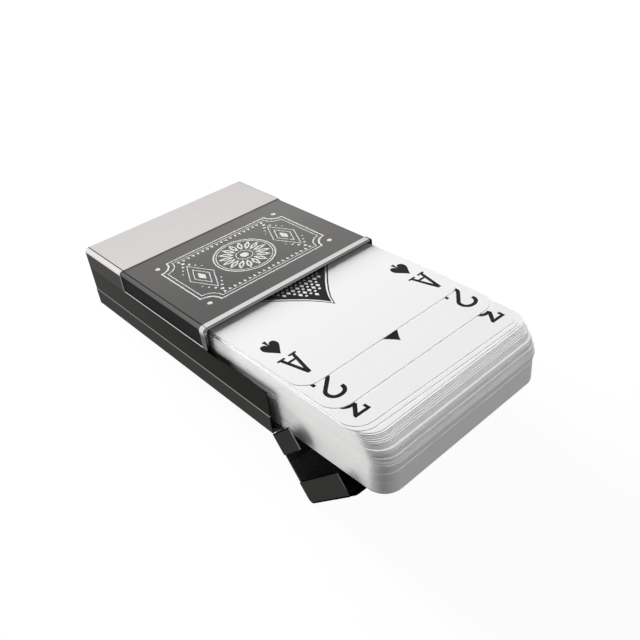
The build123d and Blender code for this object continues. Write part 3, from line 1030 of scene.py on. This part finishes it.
def ornament_outlines(ornament):
    """Frame with hollow corners, a rosette between two diamonds, and rows of small triangles."""
    width, depth = ornament.width / MM, ornament.depth / MM
    line, fine = ornament.line / MM, ornament.fine_line / MM
    inner_frame = 2.6
    narrower = (0, 2 * line, inner_frame, inner_frame + 2 * fine)
    outlines = [notched_outline(width - less, depth - less, 4.2) for less in narrower]
    for turn_x in (-1, 1):
        for turn_y in (-1, 1):
            outlines.append(disc(turn_x * (width / 2 - 0.9), turn_y * (depth / 2 - 0.9), 0.75))
    outlines += ring(9.6, line) + ring(8.7, fine) + ring(2.7, fine) + [disc(0, 0, 1.3)]
    for leaf in range(ornament.petals):
        angle = 2 * pi * leaf / ornament.petals
        outlines += [petal(angle, 3.2, 8.1, 1.15), petal(angle, 4.4, 7.0, 0.42)]
    bead_top = 10.2
    for side in (-1, 1):
        x = side * 15.4
        for size in (1.0, 0.93, 0.62, 0.55):
            outlines.append(lozenge(x, 0, 8.4 * size, 17.0 * size))
        outlines.append(lozenge(x, 0, 2.2, 4.6))
        for turn_y in (-1, 1):
            outlines.append(disc(x, turn_y * bead_top, 0.55))
            for step in (1, 2, 3):
                for way in (side, -side):
                    y = turn_y * (bead_top - step * 1.75)
                    outlines.append(disc(x + way * step * 1.1, y, 0.5 - 0.08 * step))
    teeth = 19
    for tooth in range(teeth):
        x = (tooth - (teeth - 1) / 2) * 1.75
        for turn_y in (-1, 1):
            base, point = turn_y * (depth / 2 - 2.2), turn_y * (depth / 2 - 3.4)
            outlines.append([(x - 0.55, base), (x + 0.55, base), (x, point)])
    return outlines


# Steps

def dress(node, material):
    """Give a packed node its finish."""
    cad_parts[node].material_slots[0].material = material


def cover(piece, material):
    """Give a new piece its only material."""
    piece.data.materials.clear()
    piece.data.materials.append(material)


class CARDCASE_OT_finish_shells(Operator):
    """Give the sheet-metal shells, covers and lid their finishes"""
    bl_idname = "card_case.finish_shells"
    bl_label = "Finish Shells"

    def execute(self, context):
        finish = context.scene.card_case_finish
        dress("rear_band", metal(satin_silver_band, finish, GRAIN_ACROSS, finish.satin))
        dress("front_inlay", metal(dark_panel, finish, GRAIN_EVEN, finish.lacquer))
        dress("mouth_trim", metal(bright_trim, finish, GRAIN_ACROSS, finish.polish))
        dress("lower_shell", metal(gunmetal_lower, finish, GRAIN_ALONG, finish.satin))
        dress("middle_shell", metal(gunmetal_middle, finish, GRAIN_ALONG, finish.satin))
        dress("lid_shell", metal(gunmetal_lid, finish, GRAIN_ALONG, finish.satin))
        return {"FINISHED"}


class CARDCASE_OT_finish_fittings(Operator):
    """Give the hinge and the linings their finishes"""
    bl_idname = "card_case.finish_fittings"
    bl_label = "Finish Fittings"

    def execute(self, context):
        finish = context.scene.card_case_finish
        steel = metal(hinge_steel, finish, GRAIN_ACROSS, finish.drawn)
        dress("hinge_pin", steel)
        for side in ("case", "lid"):
            dress(side + "_hinge_leaf", steel)
            dress(side + "_hinge_rivets", steel)
        dress("case_liner", lining("flocked_liner", finish.flock, 4200.0, 0.05))
        # Painted light: the end wall's film takes a lighter tone than the panel's
        dress("lid_end_lining", lining("lid_wall_film", finish.wall_film, 2600.0, 0.01))
        dress("lid_panel_lining", lining("lid_panel_film", finish.panel_film, 2600.0, 0.01, 0.02))
        return {"FINISHED"}


class CARDCASE_OT_add_ornament(Operator):
    """Print the light ornament on the dark panel"""
    bl_idname = "card_case.add_ornament"
    bl_label = "Add Panel Ornament"

    def execute(self, context):
        ornament = context.scene.card_case_ornament
        piece = flat_shape("panel_ornament", [ornament_outlines(ornament)], 2 * ornament.thickness)
        middle = (INLAY_LOW + INLAY_HIGH) / 2
        piece.data.transform(Matrix.Translation((middle.x, middle.y, INLAY_HIGH.z)))
        cover(piece, printed("panel_foil", ornament.foil, 0.08, 0.35))
        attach(piece, "case")
        return {"FINISHED"}


class CARDCASE_OT_add_cards(Operator):
    """Model the cards of the deck where the packed ones lie"""
    bl_idname = "card_case.add_cards"
    bl_label = "Add Cards"

    def execute(self, context):
        card = context.scene.card_case_cards
        chance = random.Random(card.seed)
        stock = card_stock(card)
        printed_blank = card_blank(card, CARD_THICKNESS - card.ink_room)
        plain_blank = card_blank(card, CARD_THICKNESS)
        for blank in (printed_blank, plain_blank):
            blank.data.materials.append(stock)
        for node, body in CARD_BODIES.items():
            piece = deal(printed_blank if node in CARD_FACES else plain_blank, node, card, chance)
            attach(piece, body)
            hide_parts(node)
        for blank in (printed_blank, plain_blank):
            bpy.data.objects.remove(blank)
        return {"FINISHED"}


class CARDCASE_OT_print_cards(Operator):
    """Print indices and spades on the top cards"""
    bl_idname = "card_case.print_cards"
    bl_label = "Print Cards"

    def execute(self, context):
        card = context.scene.card_case_cards
        ink = printed("card_ink", card.ink, 0.12, 0.12)
        for node, (index, _) in CARD_FACES.items():
            if index == "A":
                marks = card_marks(node, index, [], card)
                emblem = flat_shape("emblem", [emblem_outlines(card)], card.ink_room)
                marks.append(print_mark(emblem, node, card, 0, (CARD_SIZE.y + card.emblem) / 2, False))
                bpy.data.objects.remove(emblem)
            else:
                marks = card_marks(node, index, pip_places(int(index), card), card)
            piece = join_pieces(marks, node + "_print")
            cover(piece, ink)
            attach(piece, CARD_BODIES[node])
        return {"FINISHED"}


def slope(front, rear):
    """Slope of the line between two points of the side view."""
    return atan2(rear[1] - front[1], rear[0] - front[0])


def resting_tilt():
    """Tilt of the floor that the rear edge and the lid rest on, and a point of it."""
    apart = 30 * MM
    spots = [(v.co.y, v.co.z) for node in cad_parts.values() for v in node.data.vertices]
    rear = max(spots, key=lambda spot: spot[0] - spot[1] * 4)
    for _ in range(3):
        lid = max((s for s in spots if s[0] < rear[0] - apart), key=lambda s: slope(s, rear))
        rear = min((s for s in spots if s[0] > lid[0] + apart), key=lambda s: slope(lid, s))
    return slope(lid, rear), Vector((0, *rear))


def studio_rays(tree):
    """1 for rays from the camera, from gloss and through glass, else 0."""
    path = add(tree, "LightPath").outputs
    return most(path["Is Camera Ray"], path["Is Glossy Ray"], path["Is Transmission Ray"])


class CARDCASE_OT_set_stage(Operator):
    """Add the pale floor, the soft light and the camera"""
    bl_idname = "card_case.set_stage"
    bl_label = "Set Stage"

    def execute(self, context):
        studio = context.scene.card_case_studio
        tilt, touch = resting_tilt()
        self.add_floor(studio, tilt, touch)
        self.add_sky(context, studio)
        self.limit_shadows(self.add_lamp(studio, "key", 1 - studio.step_shade), ())
        for packs in (LOWER_PACKS, ALL_PACKS):
            self.limit_shadows(self.add_lamp(studio, "key", studio.step_shade / 2), packs)
        self.add_lamp(studio, "side")
        self.add_lamp(studio, "fill")
        self.add_camera(context, studio, tilt)
        context.scene.view_settings.view_transform = "Standard"
        return {"FINISHED"}

    def add_floor(self, studio, tilt, touch):
        """Pale floor that keeps the shadow but looks white to the camera and to the metal."""
        bpy.ops.object.select_all(action="DESELECT")
        bpy.ops.mesh.primitive_plane_add(size=studio.floor_width, location=touch, rotation=(tilt, 0, 0))
        floor = bpy.context.object
        floor.name = "studio_floor"
        material, tree, bsdf = new_material("studio_floor")
        seen = studio_rays(tree)
        feed(bsdf, {
            "Base Color": fade(seen, 0, 1, 0.35, 0.08),
            "Roughness": 1.0,
            "Specular IOR Level": 0.0,
            "Emission Color": studio.floor,
            "Emission Strength": seen,
        })
        floor.data.materials.append(material)
        floor.visible_shadow = False

    def add_sky(self, context, studio):
        """Even light from all round, white to the metal and like the floor to the camera."""
        world = bpy.data.worlds.new("studio_sky")
        world.use_nodes = True
        tree = world.node_tree
        camera = add(tree, "LightPath").outputs["Is Camera Ray"]
        feed(tree.nodes["Background"], {
            "Color": tint(camera, (1, 1, 1), studio.floor),
            "Strength": fade(studio_rays(tree), 0, 1, studio.sky, 1.0),
        })
        context.scene.world = world

    def add_lamp(self, studio, name, part=1.0):
        """Large soft lamp that looks at the middle of the case, with a part of its full power."""
        middle = (CAD_BOX[0] + CAD_BOX[1]) / 2
        towards = Vector(getattr(studio, name + "_direction")).normalized()
        lamp = bpy.data.objects.new(name, bpy.data.lights.new(name, "AREA"))
        lamp.data.energy = getattr(studio, name + "_power") * part
        lamp.data.size = getattr(studio, name + "_size")
        lamp.location = middle + towards * studio.lamp_distance
        lamp.rotation_mode = "QUATERNION"
        lamp.rotation_quaternion = towards.to_track_quat("Z", "Y")
        lamp.visible_glossy = False
        lamp.visible_camera = False
        bpy.context.collection.objects.link(lamp)
        return lamp

    def limit_shadows(self, lamp, packs):
        """Let only the case, its lid and some packs of cards throw shadows in a lamp's light."""
        blockers = bpy.data.collections.new(lamp.name + "_blockers")
        for node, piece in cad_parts.items():
            if node not in CARD_BODIES:
                blockers.objects.link(piece)
        for node in packs:
            blockers.objects.link(bpy.data.objects[node + "_stock"])
        lamp.light_linking.blocker_collection = blockers

    def add_camera(self, context, studio, tilt):
        """Camera at the photographed angle, level with the floor."""
        back = -Vector(studio.sight).normalized()
        right = Vector((0, -sin(tilt), cos(tilt))).cross(back).normalized()
        up = back.cross(right)
        camera = bpy.data.objects.new("camera", bpy.data.cameras.new("camera"))
        camera.data.lens = studio.lens
        camera.data.sensor_width = 36
        camera.data.clip_start = 10 * MM
        axes_of_view = Matrix((right, up, back)).transposed().to_4x4()
        camera.matrix_world = Matrix.Translation(studio.spot) @ axes_of_view
        bpy.context.collection.objects.link(camera)
        context.scene.camera = camera


STEPS = (
    CARDCASE_OT_finish_shells,
    CARDCASE_OT_finish_fittings,
    CARDCASE_OT_add_ornament,
    CARDCASE_OT_add_cards,
    CARDCASE_OT_print_cards,
    CARDCASE_OT_set_stage,
)
GROUPS = {
    "card_case_finish": CaseFinish,
    "card_case_cards": CardPrint,
    "card_case_ornament": PanelOrnament,
    "card_case_studio": Studio,
}


class CARDCASE_PT_sidebar(Panel):
    """Steps and settings of the card case"""
    bl_label = "Card Case"
    bl_space_type = "VIEW_3D"
    bl_region_type = "UI"
    bl_category = "Card Case"

    def draw(self, context):
        for step in STEPS:
            self.layout.operator(step.bl_idname)
        for name, group in GROUPS.items():
            settings = getattr(context.scene, name)
            box = self.layout.box()
            box.label(text=group.__doc__)
            for setting in group.__annotations__:
                box.prop(settings, setting)


CLASSES = (*GROUPS.values(), *STEPS, CARDCASE_PT_sidebar)


def register():
    for cls in CLASSES:
        bpy.utils.register_class(cls)
    for name, group in GROUPS.items():
        setattr(bpy.types.Scene, name, PointerProperty(type=group))


def unregister():
    for name in GROUPS:
        delattr(bpy.types.Scene, name)
    for cls in reversed(CLASSES):
        bpy.utils.unregister_class(cls)


def main():
    register()
    bpy.ops.card_case.finish_shells()
    bpy.ops.card_case.finish_fittings()
    bpy.ops.card_case.add_ornament()
    bpy.ops.card_case.add_cards()
    bpy.ops.card_case.print_cards()
    bpy.ops.card_case.set_stage()


if __name__ == "__main__":
    main()
